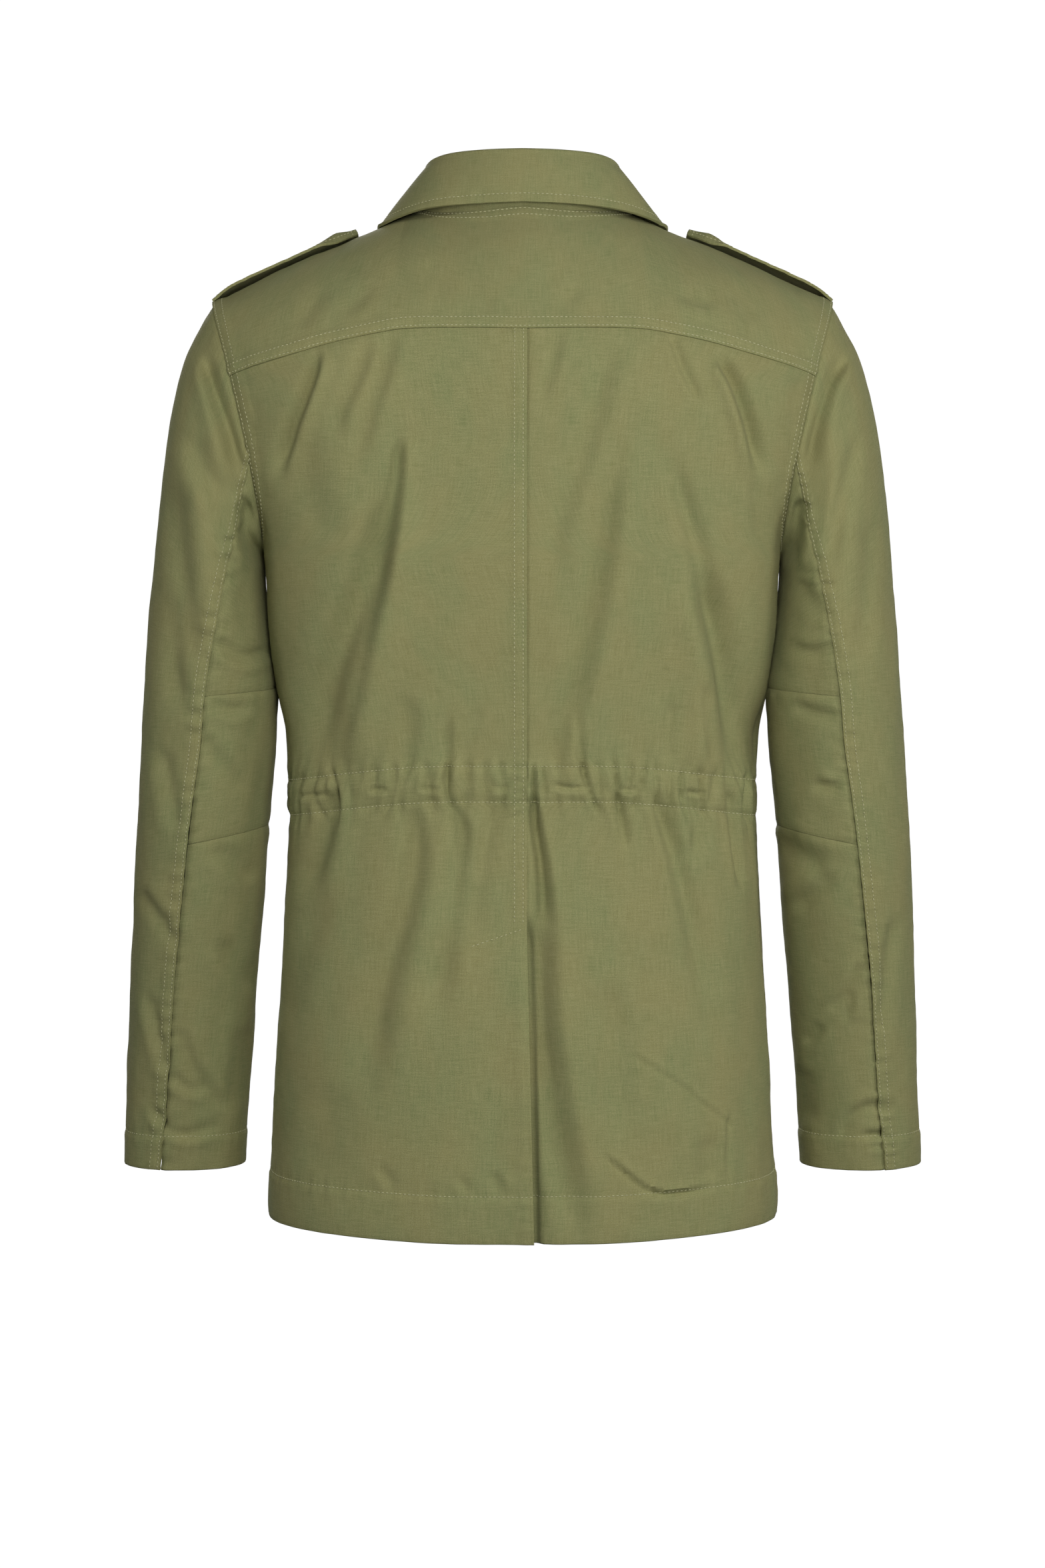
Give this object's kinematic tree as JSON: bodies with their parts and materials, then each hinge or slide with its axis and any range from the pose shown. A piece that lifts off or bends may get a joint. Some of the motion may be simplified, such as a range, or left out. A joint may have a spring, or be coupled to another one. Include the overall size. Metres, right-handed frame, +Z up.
{
  "type": "safari jacket",
  "caption": "Hip-length cotton safari jacket held in its worn shape, with a gathered waist tunnel, a back yoke, a centre vent, elbow panels and epaulettes.",
  "frame": {"origin": "on the centre line between front and back, about 3 mm above the neck points where the collar meets the shoulders", "axes": "+Z up, the jacket's front faces -Y, +X is the wearer's left"},
  "size_m": [0.6052, 0.2558, 0.7949],
  "materials": {
    "cotton_twill": "washed olive cotton twill with a fine slub, tonal topstitching, dull surface",
    "button": "dark brown moulded four-hole button with a raised rim, satin"
  },
  "bodies": {
    "root": {"yoke": "cotton_twill", "collar_stand": "cotton_twill", "collar_leaf": "cotton_twill", "front_placket": "cotton_twill", "back_left": "cotton_twill", "back_right": "cotton_twill", "front_left": "cotton_twill", "front_right": "cotton_twill", "sleeve_upper_left": "cotton_twill", "sleeve_upper_right": "cotton_twill", "sleeve_under_top_left": "cotton_twill", "sleeve_under_top_right": "cotton_twill", "sleeve_elbow_left": "cotton_twill", "sleeve_elbow_right": "cotton_twill", "sleeve_under_low_left": "cotton_twill", "sleeve_under_low_right": "cotton_twill", "epaulette_left": "cotton_twill", "epaulette_right": "cotton_twill", "epaulette_button_left": "button", "epaulette_button_right": "button", "front_button_1": "button", "front_button_2": "button", "front_button_3": "button", "front_button_4": "button", "front_button_5": "button", "front_button_6": "button"}
  },
  "joints": []
}
